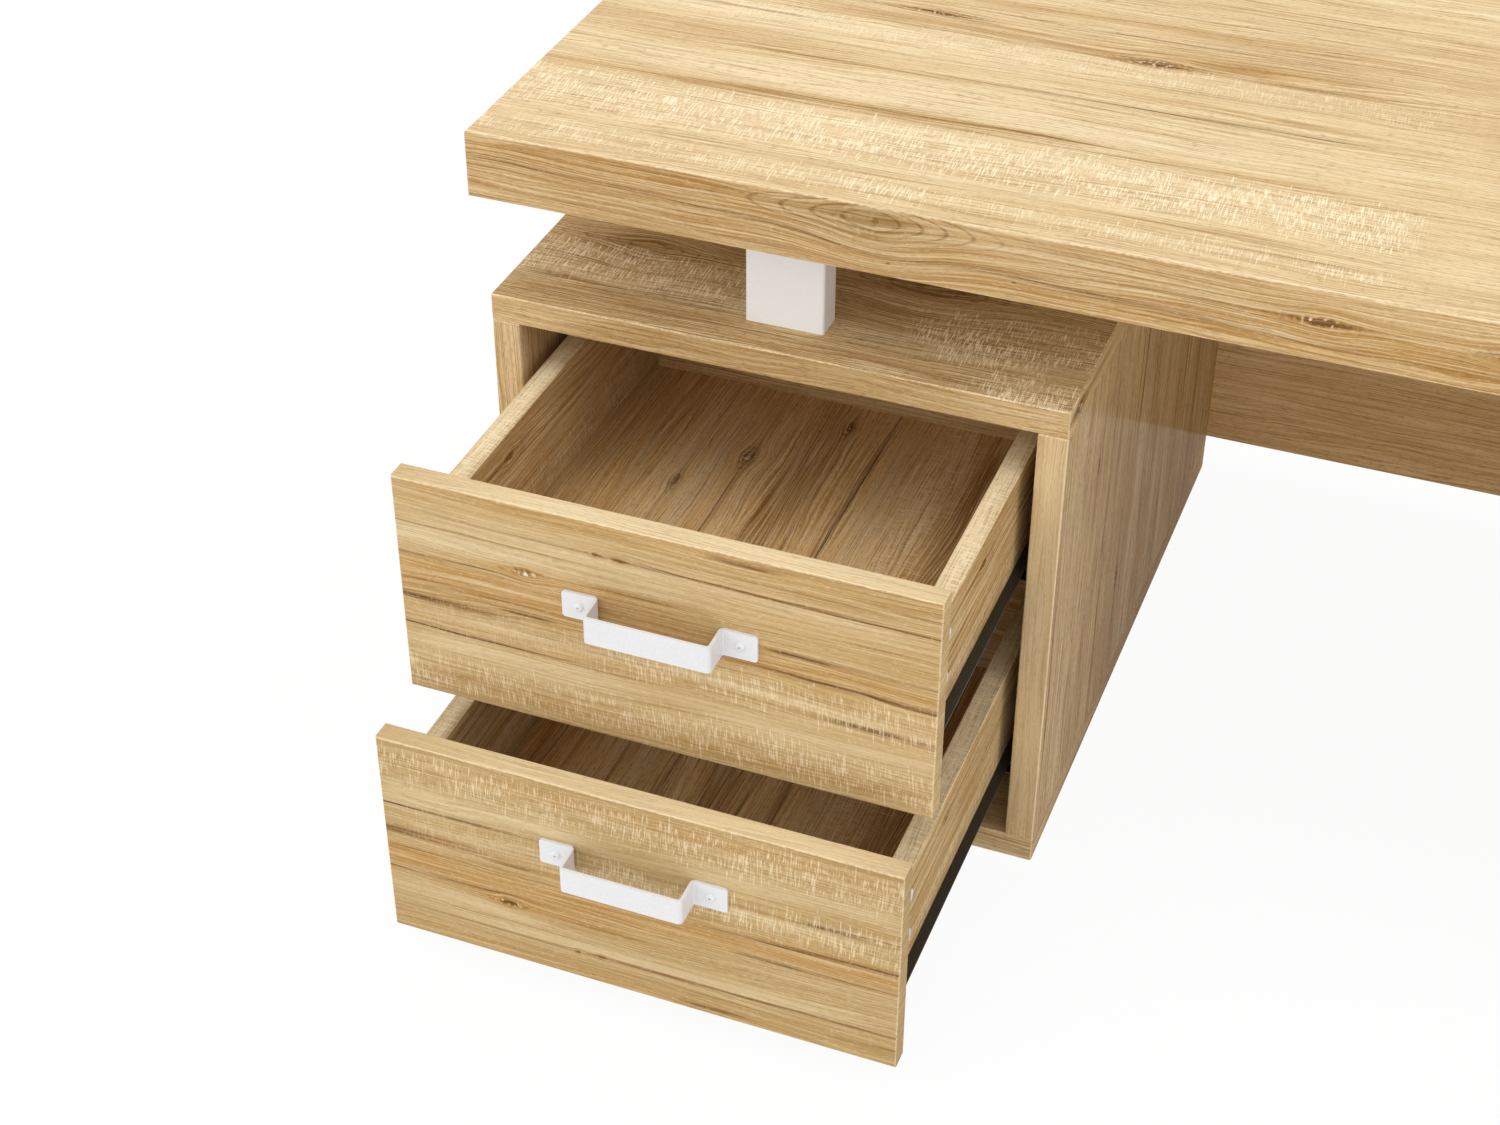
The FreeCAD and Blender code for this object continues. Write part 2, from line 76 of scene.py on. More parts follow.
class Graph:
    """A node tree that is written as functions of sockets."""

    def __init__(self, tree):
        self.tree = tree

    def node(self, kind, **settings):
        """Add a node with these settings."""
        new = self.tree.nodes.new("ShaderNode" + kind)
        for name, setting in settings.items():
            setattr(new, name, setting)
        return new

    def feed(self, socket, source):
        """Link a socket to another one, or give it a plain value."""
        if isinstance(source, bpy.types.NodeSocket):
            self.tree.links.new(source, socket)
        else:
            socket.default_value = source

    def math(self, operation, *terms, clamp=False):
        """What an operation gives for numbers or sockets."""
        new = self.node("Math", operation=operation, use_clamp=clamp)
        for socket, term in zip(new.inputs, terms):
            self.feed(socket, term)
        return new.outputs[0]

    def scaled(self, socket, factor, shift=0.0):
        """A socket times a factor plus a shift."""
        return self.math("MULTIPLY_ADD", socket, factor, shift)

    def swing(self, noise, size):
        """A noise from 0 to 1 as a swing of this size, half of it to each side of zero."""
        return self.scaled(noise, size, -size / 2)

    def vector(self, x, y, z):
        """Three numbers or sockets as a vector."""
        new = self.node("CombineXYZ")
        for socket, term in zip(new.inputs, (x, y, z)):
            self.feed(socket, term)
        return new.outputs[0]

    def noise(self, spot, length, width, layer, detail, roughness):
        """Noise with cells of a length along the grain and a width across it, from 0 to 1."""
        new = self.node("TexNoise", noise_dimensions="3D", normalize=True)
        place = self.vector(self.scaled(spot[0], 1 / length), self.scaled(spot[1], 1 / width),
                            self.math("ADD", spot[2], layer))
        self.feed(new.inputs["Vector"], place)
        self.feed(new.inputs["Scale"], 1.0)
        self.feed(new.inputs["Detail"], detail)
        self.feed(new.inputs["Roughness"], roughness)
        return new.outputs["Fac"]

    def step(self, socket, start, end, low=0.0, high=1.0):
        """A smooth step from low to high between two values of a socket."""
        new = self.node("MapRange", interpolation_type="SMOOTHSTEP", clamp=True)
        for socket_in, term in zip(new.inputs, (socket, start, end, low, high)):
            self.feed(socket_in, term)
        return new.outputs[0]

    def band(self, socket, low, high, fade):
        """1 between two values of a socket, and 0 beyond a fade outside them."""
        rise = self.step(socket, low - fade, low)
        return self.math("MULTIPLY", rise, self.step(socket, high, high + fade, 1.0, 0.0))

    def blend(self, factor, first, second):
        """One colour laid over another."""
        new = self.node("Mix", data_type="RGBA")
        self.feed(new.inputs[MIX_FACTOR], factor)
        self.feed(new.inputs[MIX_FIRST], first)
        self.feed(new.inputs[MIX_SECOND], second)
        return new.outputs[MIX_RESULT]


def new_group(build, takes, gives):
    """A node group from a function of sockets. Its sockets are numbers, apart from a colour called base."""
    tree = bpy.data.node_groups.new(build.__name__, "ShaderNodeTree")
    for side, names in (("INPUT", takes), ("OUTPUT", gives)):
        for name in names:
            kind = "NodeSocketColor" if name == "base" else "NodeSocketFloat"
            tree.interface.new_socket(name, in_out=side, socket_type=kind)
    start = tree.nodes.new("NodeGroupInput")
    end = tree.nodes.new("NodeGroupOutput")
    graph = Graph(tree)
    results = build(graph, *list(start.outputs)[:len(takes)])
    for socket, result in zip(end.inputs, results):
        graph.feed(socket, result)
    return tree


def shared(takes, gives):
    """Make a function of sockets a node group that is built at its first use."""
    def wrap(build):
        built = []

        def use(graph, *sources):
            if not built:
                built.append(new_group(build, takes.split(), gives.split()))
            new = graph.node("Group", node_tree=built[0])
            for socket, source in zip(new.inputs, sources):
                graph.feed(socket, source)
            return tuple(new.outputs) if len(new.outputs) > 1 else new.outputs[0]
        return use
    return wrap


def new_material(name):
    """An empty material and its graph."""
    made = bpy.data.materials.new(name)
    made.use_nodes = True
    made.node_tree.nodes.clear()
    return made, Graph(made.node_tree)


def finish_surface(graph, skin, relief, settings):
    """Join a material's settings to its shader, with its skin as a relief of a strength and a depth."""
    strength, depth = relief
    bump = graph.node("Bump")
    graph.feed(bump.inputs["Strength"], strength)
    graph.feed(bump.inputs["Distance"], depth)
    graph.feed(bump.inputs["Height"], skin)
    shader = graph.node("BsdfPrincipled")
    for name, setting in settings.items():
        graph.feed(shader.inputs[name], setting)
    graph.feed(shader.inputs["Normal"], bump.outputs[0])
    end = graph.node("OutputMaterial")
    graph.feed(end.inputs[0], shader.outputs[0])


def colour(red, green, blue):
    """A colour given as it shows on a screen, from 0 to 255, for a shader."""
    return (*Color((red / 255, green / 255, blue / 255)).from_srgb_to_scene_linear(), 1.0)


# Places on a face
# By the grain's axis and the axis that a face looks along: the axes along and across the grain.
FACE_AXES = {
    "x": {"x": "yz", "y": "xz", "z": "xy"},
    "y": {"x": "yz", "y": "xz", "z": "yx"},
    "z": {"x": "zy", "y": "zx", "z": "yx"},
}
# The layers of the noises on faces that look along X and Y, so that a board's faces differ.
FACE_LAYERS = {"x": 3.7, "y": 7.3}
# How far a normal leans to an axis where a face looks along it, and where a rim starts and is full.
FACING = 0.7
RIM_START = 0.97
RIM_FULL = 0.90


def axis_places(graph):
    """The place in the object along X, Y and Z."""
    place = graph.node("SeparateXYZ")
    graph.feed(place.inputs[0], graph.node("TexCoord").outputs["Object"])
    return dict(zip("xyz", place.outputs))


def face_coordinates(graph, at, grain):
    """The place along and across the grain with a face's layer, and where faces and rims are."""
    normal = graph.node("SeparateXYZ")
    graph.feed(normal.inputs[0], graph.node("TexCoord").outputs["Normal"])
    lean = {axis: graph.math("ABSOLUTE", part) for axis, part in zip("xyz", normal.outputs)}
    on = {axis: graph.math("GREATER_THAN", lean[axis], FACING) for axis in "xyz"}
    along = across = layer = 0.0
    for axis, (along_axis, across_axis) in FACE_AXES[grain].items():
        along = graph.math("MULTIPLY_ADD", on[axis], at[along_axis], along)
        across = graph.math("MULTIPLY_ADD", on[axis], at[across_axis], across)
    for axis, own in FACE_LAYERS.items():
        layer = graph.math("MULTIPLY_ADD", on[axis], own, layer)
    most = graph.math("MAXIMUM", lean["x"], graph.math("MAXIMUM", lean["y"], lean["z"]))
    on["rim"] = graph.step(most, RIM_START, RIM_FULL)
    return (along, across, layer), on


# Printed oak
PALE = colour(236, 216, 176)
HONEY = colour(212, 179, 126)
TAN = colour(182, 142, 84)
BROWN = colour(130, 89, 40)
OLIVE = colour(176, 147, 97)
AMBER = colour(228, 176, 106)
DARK = colour(80, 49, 16)
MARK = colour(250, 232, 198)

# The noises: length and width of their cells, a layer that tells them apart, detail and roughness.
NOISES = {
    "sway": (0.7, 0.10, 1.0, 2.0, 0.5),
    "waver": (0.11, 0.020, 5.0, 2.0, 0.5),
    "tone": (1.2, 0.055, 11.0, 2.0, 0.5),
    "fine": (0.5, 0.009, 23.0, 4.0, 0.6),
    "thread": (0.30, 0.0024, 29.0, 3.0, 0.7),
    "line": (0.45, 0.006, 31.0, 2.0, 0.5),
    "fibre": (0.11, 0.0013, 41.0, 2.0, 0.6),
    "pore": (0.010, 0.0013, 47.0, 1.0, 0.5),
    "blot": (0.25, 0.04, 53.0, 2.0, 0.5),
    "crumb": (0.005, 0.0022, 59.0, 2.0, 0.5),
    "saw_hair": (0.0011, 0.012, 61.0, 1.0, 0.5),
    "saw_bold": (0.0017, 0.024, 67.0, 1.0, 0.5),
    "saw_clump": (0.035, 0.022, 71.0, 2.0, 0.5),
    "saw_reach": (0.0022, 0.30, 77.0, 1.0, 0.5),
    "saw_patch": (1.6, 0.07, 81.0, 2.0, 0.5),
}
SWAY = 50 * MM
WAVER = 7 * MM

# Steps over a noise: where they start and end, and how deep a tint is at both.
TONE_HONEY = (0.34, 0.56, 0.35, 1.0)
TONE_PALE = (0.50, 0.70, 0.05, 0.75)
FINE_TINTS = (((0.50, 0.68, 0.0, 0.36), TAN), ((0.48, 0.30, 0.0, 0.30), PALE))
LINE_SHOWN = (0.60, 0.70, 0.0, 1.0)
LINE_PLACES = (0.48, 0.62, 0.0, 0.6)
THREAD_TINTS = (
    ("thread", (0.49, 0.66, 0.0, 0.36), BROWN),
    ("thread", (0.50, 0.34, 0.0, 0.32), PALE),
    ("fibre", (0.50, 0.66, 0.0, 0.42), BROWN),
    ("fibre", (0.50, 0.34, 0.0, 0.42), PALE),
    ("pore", (0.58, 0.66, 0.0, 0.32), BROWN),
)
CRUMB_PALE = (0.55, 0.72, 0.0, 0.15)
# Pale specks on rounded and bevelled rims: partly wear, partly a painted highlight along the edges.
RIM_WEAR_AND_HIGHLIGHT = (0.35, 0.65, 0.15, 0.45)
OAK_RELIEF = (0.15, 0.3 * MM)

# A streak is full over this share of its half length, and its edges are torn along the threads.
STREAK_FULL_SHARE = 0.35
STREAK_TORN = (0.36, 0.58, 0.55, 1.15)
STREAK_WAVER_SHARE = 0.5

# Almonds, whose sizes are in shares of their half length and half width: how blunt one end is, how far
# round them the grain bends, and how much.
ALMOND_LEAN = 0.16
BEND_LENGTH_SHARE = 1.1
BEND_WIDTH_SHARE = 2.6
BEND_DEPTH = 0.75
FAR_OUT = 9.0

# Swirls and knots, by how far out of their heart a place lies. A ring's edge is where it starts and is full.
SWIRL_WOBBLE = 0.8
RING_SPACING = 0.22
RING_EDGE = (0.06, 0.015)
RING_DEPTH = (1.2, 2.8, 0.70, 0.1)
HEART_DEPTH = (0.3, 1.1, 0.45, 0.0)
HEART_THREADS = (0.35, 0.60, 0.35, 1.0)
SWIRL_HAZE = (0.4, 2.2, 0.7, 0.0)
KNOT_WOBBLE = 3.4
KNOT_HAZE = (0.7, 2.6, 0.75, 0.0)
KNOT_BROWN = (0.5, 1.6, 0.75, 0.0)
KNOT_DARK = (0.2, 0.7, 0.65, 0.0)
CRACK_DEPTH = (0.3, 0.9, 0.7, 0.0)
CRACK_SHOWN = (0.57, 0.63, 0.0, 1.0)

# Saw marks: how far they lean, how raggedly they end, and how they fade at their ends and edges.
SAW_LEAN = 0.05
SAW_REACH = 70 * MM
SAW_HAIRS = (0.51, 0.56, 0.0, 0.60)
SAW_BOLDS = (0.56, 0.60, 0.0, 0.90)
SAW_CLUMPS = (0.34, 0.50, 0.15, 1.0)
SAW_THREADS = (0.48, 0.62, 1.0, 0.45)
SAW_FADE_ALONG = 60 * MM
SAW_FADE_ACROSS = 4 * MM

# Boards without a planned figure have saw marks in patches, on rows that reach beyond any board.
PATCHES = (0.52, 0.62, 0.0, 0.6)
PATCH_DEPTH = 0.5
BEYOND = 5000


def oak_noise(graph, spot, name):
    """One of the oak's noises at a place on a face."""
    return graph.noise(spot, *NOISES[name])


@shared("along across total start end low slope half depth", "total")
def add_streak(graph, along, across, total, start, end, low, slope, half, depth):
    """Add one slim streak, which fades out at its sides and ends."""
    from_start = graph.math("SUBTRACT", along, start)
    off = graph.math("SUBTRACT", across, graph.math("MULTIPLY_ADD", from_start, slope, low))
    off = graph.math("DIVIDE", off, half)
    near = graph.math("EXPONENT", graph.scaled(graph.math("MULTIPLY", off, off), -1.0))
    passed = graph.math("DIVIDE", from_start, graph.math("SUBTRACT", end, start))
    from_middle = graph.math("ABSOLUTE", graph.scaled(passed, 2.0, -1.0))
    shown = graph.math("MULTIPLY", near, graph.step(from_middle, 1.0, STREAK_FULL_SHARE))
    return (graph.math("MULTIPLY_ADD", shown, depth, total),)


def streak_mask(graph, along, across, rows):
    """Slim streaks: each row is start, end, height at both, half width and depth, in millimetres."""
    total = 0.0
    for start, end, low, high, half, depth in rows:
        total = add_streak(graph, along, across, total, start * MM, end * MM, low * MM,
                           (high - low) / (end - start), half * MM, depth)
    return total


@shared("along across u v half_length half_width", "across")
def bend_round(graph, along, across, u, v, half_length, half_width):
    """Spread the grain apart round an almond, so that it flows past on both sides."""
    out = graph.math("DIVIDE", graph.math("SUBTRACT", along, u),
                     graph.scaled(half_length, BEND_LENGTH_SHARE))
    off = graph.math("SUBTRACT", across, v)
    up = graph.math("DIVIDE", off, graph.scaled(half_width, BEND_WIDTH_SHARE))
    reach = graph.math("MULTIPLY_ADD", out, out, graph.math("MULTIPLY", up, up))
    near = graph.math("EXPONENT", graph.scaled(reach, -1.0))
    return (graph.math("MULTIPLY_ADD", graph.scaled(near, -BEND_DEPTH, 1.0), off, v),)


@shared("along across nearest u v half_length half_width", "nearest")
def near_almond(graph, along, across, nearest, u, v, half_length, half_width):
    """How far out a place lies in an almond, if that is less than before."""
    from_heart = graph.math("DIVIDE", graph.math("SUBTRACT", along, u), half_length)
    out = graph.math("MULTIPLY_ADD", from_heart, ALMOND_LEAN, graph.math("ABSOLUTE", from_heart))
    up = graph.math("DIVIDE", graph.math("SUBTRACT", across, v), half_width)
    return (graph.math("MINIMUM", nearest, graph.math("MULTIPLY_ADD", up, up, out)),)


def almond_depth(graph, along, across, rows):
    """How far out a place lies in the nearest almond: each row is its centre and half sizes."""
    nearest = FAR_OUT
    for row in rows:
        nearest = near_almond(graph, along, across, nearest, *(size * MM for size in row))
    return nearest


@shared("base depth blot thread on", "base")
def lay_swirl(graph, base, depth, blot, thread, on):
    """Lay almond swirls on the oak: thin nested rings round a soft brown heart."""
    depth = graph.math("ADD", depth, graph.swing(blot, SWIRL_WOBBLE))
    rings = graph.step(graph.math("PINGPONG", depth, RING_SPACING), *RING_EDGE)
    rings = graph.math("MULTIPLY", rings, graph.step(depth, *RING_DEPTH))
    heart = graph.math("MULTIPLY", graph.step(depth, *HEART_DEPTH), graph.step(thread, *HEART_THREADS))
    for shown, tint in ((graph.step(depth, *SWIRL_HAZE), OLIVE), (heart, BROWN), (rings, BROWN)):
        base = graph.blend(graph.math("MULTIPLY", shown, on), base, tint)
    return (base,)


@shared("base depth crumb on", "base")
def lay_knot(graph, base, depth, crumb, on):
    """Lay small torn knots on the oak: a brown haze, dark crumbs and pale cracks between them."""
    torn = graph.math("ADD", depth, graph.swing(crumb, KNOT_WOBBLE))
    crack = graph.math("MULTIPLY", graph.step(depth, *CRACK_DEPTH), graph.step(crumb, *CRACK_SHOWN))
    for shown, tint in ((graph.step(depth, *KNOT_HAZE), TAN), (graph.step(torn, *KNOT_BROWN), BROWN),
                        (graph.step(torn, *KNOT_DARK), DARK), (crack, MARK)):
        base = graph.blend(graph.math("MULTIPLY", shown, on), base, tint)
    return (base,)


def lay_figure(graph, base, figure, noises):
    """Lay a face's own pale and dark bands, streaks, lines, swirls and knots on the oak."""
    along, on = figure["along"], figure["on"]
    across = graph.math("MULTIPLY_ADD", noises["waver"], STREAK_WAVER_SHARE, figure["bent"])
    torn = graph.math("MULTIPLY", graph.step(noises["thread"], *STREAK_TORN), on)
    for tint, part in ((PALE, "pales"), (TAN, "bands"), (BROWN, "streaks"), (DARK, "lines")):
        if part in figure:
            mask = streak_mask(graph, along, across, figure[part])
            base = graph.blend(graph.math("MULTIPLY", mask, torn, clamp=True), base, tint)
    if "swirls" in figure:
        depth = almond_depth(graph, along, figure["across"], figure["swirls"])
        base = lay_swirl(graph, base, depth, noises["blot"], noises["thread"], on)
    if "knots" in figure:
        depth = almond_depth(graph, along, figure["across"], figure["knots"])
        base = lay_knot(graph, base, depth, noises["crumb"], on)
    return base


@shared("along across layer thread", "ragged strength")
def saw_strokes(graph, along, across, layer, thread):
    """Pale hairs across the grain, in clumps and crossed by the grain's threads, and where each one ends."""
    leaning = (graph.math("MULTIPLY_ADD", across, SAW_LEAN, along), across, layer)
    reach = graph.swing(oak_noise(graph, leaning, "saw_reach"), SAW_REACH)
    hairs = graph.step(oak_noise(graph, leaning, "saw_hair"), *SAW_HAIRS)
    bolds = graph.step(oak_noise(graph, leaning, "saw_bold"), *SAW_BOLDS)
    clumps = graph.step(oak_noise(graph, leaning, "saw_clump"), *SAW_CLUMPS)
    pale = graph.math("MULTIPLY", graph.math("ADD", hairs, bolds), clumps)
    strength = graph.math("MULTIPLY", pale, graph.step(thread, *SAW_THREADS))
    return graph.math("ADD", across, reach), strength


def saw_marks(graph, spot, thread, rows):
    """Where saw marks show: each row of them is start, end, low and high edge, in millimetres, and depth."""
    along, across, layer = spot
    ragged, strength = saw_strokes(graph, along, across, layer, thread)
    total = 0.0
    for start, end, low, high, depth in rows:
        inside = graph.math("MULTIPLY", graph.band(along, start * MM, end * MM, SAW_FADE_ALONG),
                            graph.band(ragged, low * MM, high * MM, SAW_FADE_ACROSS))
        total = graph.math("MULTIPLY_ADD", inside, depth, total)
    return graph.math("MULTIPLY", strength, total, clamp=True)


@shared("along across layer lift", "base waver thread blot fibre pore crumb")
def oak_ground(graph, along, across, layer, lift):
    """Printed oak's tones and dark lines, and the noises that its finer marks follow."""
    spot = (along, across, layer)
    sway = graph.swing(oak_noise(graph, spot, "sway"), SWAY)
    waver = graph.swing(oak_noise(graph, spot, "waver"), WAVER)
    bent = (along, graph.math("ADD", across, graph.math("ADD", sway, waver)), layer)
    tone, fine, thread, line, fibre, pore = (
        oak_noise(graph, bent, name) for name in ("tone", "fine", "thread", "line", "fibre", "pore"))
    blot, crumb = (oak_noise(graph, spot, name) for name in ("blot", "crumb"))
    base = graph.blend(graph.step(tone, *TONE_HONEY), TAN, HONEY)
    base = graph.blend(graph.step(tone, *TONE_PALE), base, PALE)
    base = graph.blend(lift, base, PALE)
    for shown, tint in FINE_TINTS:
        base = graph.blend(graph.step(fine, *shown), base, tint)
    dark_line = graph.math("MULTIPLY", graph.step(line, *LINE_SHOWN), graph.step(blot, *LINE_PLACES))
    return graph.blend(dark_line, base, BROWN), waver, thread, blot, fibre, pore, crumb


@shared("base thread fibre pore crumb vivid", "base")
def oak_threads(graph, base, thread, fibre, pore, crumb, vivid):
    """The fine threads, fibres and pores that lie over the whole of the oak."""
    noises = {"thread": thread, "fibre": fibre, "pore": pore}
    for name, shown, tint in THREAD_TINTS:
        depth = graph.math("MULTIPLY", graph.step(noises[name], *shown), vivid, clamp=True)
        base = graph.blend(depth, base, tint)
    return (graph.blend(graph.step(crumb, *CRUMB_PALE), base, MARK),)


def bend_figures(graph, across, figures):
    """Bend each figure's grain round its almonds, and the oak's own grain with it."""
    for figure in figures:
        bent = figure["across"]
        for row in (*figure.get("swirls", ()), *figure.get("knots", ())):
            bent = bend_round(graph, figure["along"], bent, *(size * MM for size in row))
        figure["bent"] = bent
        shift = graph.math("SUBTRACT", bent, figure["across"])
        shift = graph.math("MULTIPLY", shift, figure["turn"])
        across = graph.math("MULTIPLY_ADD", shift, figure["on"], across)
    return across


def face_vivid(graph, vivid, figures):
    """How strong the fine threads are, on a board and on the faces that say it for themselves."""
    shown = vivid
    for figure in figures:
        shown = graph.math("MULTIPLY_ADD", figure["on"], figure.get("vivid", vivid) - vivid, shown)
    return shown


def oak_colour(graph, spot, rim, figures=(), marked=(), lift=0.0, stain=None, vivid=1.0):
    """Printed oak with a face's own figure, pale saw marks, edges paled as wear and painted highlight, and
    the height of its fibres.
    """
    along, across, layer = spot
    across = bend_figures(graph, across, figures)
    base, *outputs = oak_ground(graph, along, across, layer, lift)
    noises = dict(zip(("waver", "thread", "blot", "fibre", "pore", "crumb"), outputs))
    if stain:
        tint, depth = stain
        base = graph.blend(depth, base, tint)
    for figure in figures:
        base = lay_figure(graph, base, figure, noises)
    base = oak_threads(graph, base, *(noises[name] for name in ("thread", "fibre", "pore", "crumb")),
                       face_vivid(graph, vivid, figures))
    for face in marked:
        sawn = saw_marks(graph, face["spot"], noises["thread"], face["saw"])
        sawn = graph.math("MULTIPLY", sawn, face["on"])
        base = graph.blend(graph.scaled(sawn, face["saw_depth"]), base, MARK)
    # Pale specks on the rims: wear, and a painted highlight where the edges catch the light.
    rim_wear_and_highlight = graph.math("MULTIPLY", rim, graph.step(noises["crumb"], *RIM_WEAR_AND_HIGHLIGHT))
    return graph.blend(rim_wear_and_highlight, base, MARK), noises["fibre"]


def finish_oak(graph, base, fibre, sheen=0.11):
    """Join the oak's colour to its shader, with a faint relief of fibres under a thin clear coat."""
    finish_surface(graph, fibre, OAK_RELIEF, {
        "Base Color": base, "Roughness": 0.5, "Specular IOR Level": 0.0,
        "Coat Weight": sheen, "Coat Roughness": 0.12})


def plain_oak(name, grain):
    """Oak with no planned figure, for boards whose grain runs along an axis."""
    made, graph = new_material(name)
    spot, on = face_coordinates(graph, axis_places(graph), grain)
    everywhere = {"spot": spot, "on": graph.step(oak_noise(graph, spot, "saw_patch"), *PATCHES),
                  "saw": [(-BEYOND, BEYOND, -BEYOND, BEYOND, 1.0)], "saw_depth": PATCH_DEPTH}
    finish_oak(graph, *oak_colour(graph, spot, on["rim"], marked=[everywhere]))
    return made


def figured_oak(name, node, grain, faces, lift=0.0, stain=None, vivid=1.0, sheen=0.11,
                upside_down=False, halves=False):
    """Oak for one board, whose faces have figures of their own, measured from the board's low corner.

    Each face is keyed by the axes along and across its figure and the axis that it looks along. Lift
    pales the whole board, a stain is a colour and its depth, vivid is how strong the fine threads are,
    and sheen is the share of clear coat. Upside down turns the figures over, and halves gives the right
    half the left one's figures, turned round.
    """
    made, graph = new_material(name)
    at = axis_places(graph)
    spot, on = face_coordinates(graph, at, grain)
    low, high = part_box(node)
    size = high - low
    local = {axis: graph.math("SUBTRACT", at[axis], getattr(low, axis)) for axis in "xyz"}
    turn = {axis: 1.0 for axis in "xyz"}
    if upside_down:
        turn["z"] = -1.0
        local["z"] = graph.math("SUBTRACT", size.z, local["z"])
    if halves:
        turned_half = graph.math("GREATER_THAN", local["x"], size.x / 2)
        turn["y"] = graph.scaled(turned_half, -2.0, 1.0)
        local["x"] = graph.math("MINIMUM", local["x"], graph.math("SUBTRACT", size.x, local["x"]))
        turned = graph.math("SUBTRACT", graph.scaled(turned_half, size.y), local["y"])
        local["y"] = graph.math("ABSOLUTE", turned)
    figures = []
    for (along, across, facing), figure in faces.items():
        figures.append({**figure, "along": local[along], "across": local[across], "turn": turn[across],
                        "on": on[facing], "spot": (local[along], local[across], 0.0)})
    marked = [figure for figure in figures if "saw" in figure]
    finish_oak(graph, *oak_colour(graph, spot, on["rim"], figures, marked, lift, stain, vivid), sheen)
    return made


# Paint and metal
SKIN_SCALE = 700.0
SKIN_DETAIL = 3.0
SKIN_MIX = (0.35, 0.65)
SKIN_RELIEF = (0.1, 0.05 * MM)


def plain_finish(name, deep, pale, roughness, metallic=0.0):
    """A painted or metal finish with a fine uneven skin."""
    made, graph = new_material(name)
    skin = graph.node("TexNoise")
    graph.feed(skin.inputs["Vector"], graph.node("TexCoord").outputs["Object"])
    graph.feed(skin.inputs["Scale"], SKIN_SCALE)
    graph.feed(skin.inputs["Detail"], SKIN_DETAIL)
    shade = graph.blend(graph.step(skin.outputs["Fac"], *SKIN_MIX), deep, pale)
    finish_surface(graph, skin.outputs["Fac"], SKIN_RELIEF, {
        "Base Color": shade, "Roughness": roughness, "Metallic": metallic})
    return made


# The faces' figures, in millimetres from a board's low corner. A row of pales, bands, streaks or lines is
# start, end, height at both, half width and depth, one of swirls or knots is its centre and half sizes,
# and one of saw marks is start, end, low and high edge and depth. Saw depth is how deep all of a face's
# saw marks are, and vivid how strong its fine threads are.
TOP_FIGURE = {
    "vivid": 1.0,
    "pales": [(-60, 900, 214, 212, 17, 0.75), (-60, 900, 150, 140, 18, 0.45), (60, 620, 320, 322, 9, 0.4),
              (200, 900, 258, 262, 8, 0.4), (-60, 900, 500, 505, 14, 0.4), (-60, 900, 350, 350, 12, 0.35)],
    "bands": [(60, 900, 396, 404, 22, 0.75), (-60, 330, 300, 290, 12, 0.45), (-60, 240, 180, 179, 6, 0.6),
              (100, 600, 181, 189, 8, 0.95), (560, 900, 181, 176, 5, 0.6), (240, 900, 470, 474, 12, 0.4),
              (-60, 900, 66, 60, 9, 0.35), (-60, 460, 275, 272, 6, 0.5), (440, 900, 308, 300, 7, 0.5),
              (500, 1100, 430, 430, 90, 0.35)],
    "streaks": [(90, 660, 182, 190, 5, 0.5), (-60, 900, 172, 177, 1.6, 0.55), (330, 700, 196, 186, 1.6, 0.5),
                (300, 900, 441, 437, 2.2, 0.55), (420, 900, 473, 476, 2, 0.45), (100, 440, 276, 274, 2, 0.55),
                (340, 900, 282, 279, 3, 0.6), (480, 900, 500, 503, 2, 0.4), (60, 250, 361, 362, 2.5, 0.6),
                (250, 900, 385, 380, 2.5, 0.45), (480, 620, 292, 297, 2, 0.5), (430, 640, 268, 265, 2, 0.4),
                (-60, 200, 238, 240, 2, 0.35), (560, 900, 66, 62, 2, 0.4), (-60, 520, 56, 60, 1.5, 0.3),
                (500, 800, 330, 334, 2, 0.35), (100, 420, 316, 312, 2, 0.35), (560, 760, 262, 262, 2, 0.4)],
    "lines": [(340, 900, 281, 279, 1.1, 0.7), (540, 860, 537, 534, 1.2, 0.6), (265, 430, 424, 413, 1.3, 0.7),
              (190, 240, 296, 308, 1.0, 0.5), (300, 420, 428, 419, 0.9, 0.5), (500, 700, 385, 386, 1.0, 0.5)],
    "knots": [(590, 384, 38, 8), (345, 421, 45, 5)],
    "saw": [(-60, 850, 92, 160, 1.0), (-60, 420, 22, 44, 0.7), (420, 850, 28, 44, 0.6),
            (160, 850, 341, 370, 0.4)],
    "saw_depth": 0.9,
}
EDGE_FIGURE = {
    "pales": [(480, 800, 56, 44, 14, 0.6), (-60, 300, 22, 14, 10, 0.3)],
    "bands": [(-800, 1700, 35, 35, 70, 0.8), (-60, 330, 58, 60, 8, 0.45), (520, 960, 18, 10, 7, 0.6),
              (760, 960, 32, 26, 9, 0.8)],
    "streaks": [(-60, 420, 47, 32, 2, 0.5), (250, 620, 40, 24, 1.6, 0.5), (500, 960, 22, 13, 2.5, 0.6),
                (480, 900, 27, 20, 1.4, 0.4), (-60, 300, 38, 25, 1.4, 0.35), (540, 800, 42, 38, 1.4, 0.25),
                (-60, 400, 14, 9, 1.2, 0.3)],
    "lines": [(-120, 420, 47, 31, 0.6, 0.6), (260, 640, 38, 26, 0.5, 0.4), (400, 940, 28, 16, 0.9, 0.9),
              (428, 434, 26, 26, 1.2, 0.9), (549, 554, 19, 19, 1.2, 0.9), (600, 900, 40, 30, 0.5, 0.4)],
    "swirls": [(418, 55, 62, 17)],
    "knots": [(832, 38, 30, 5)],
}
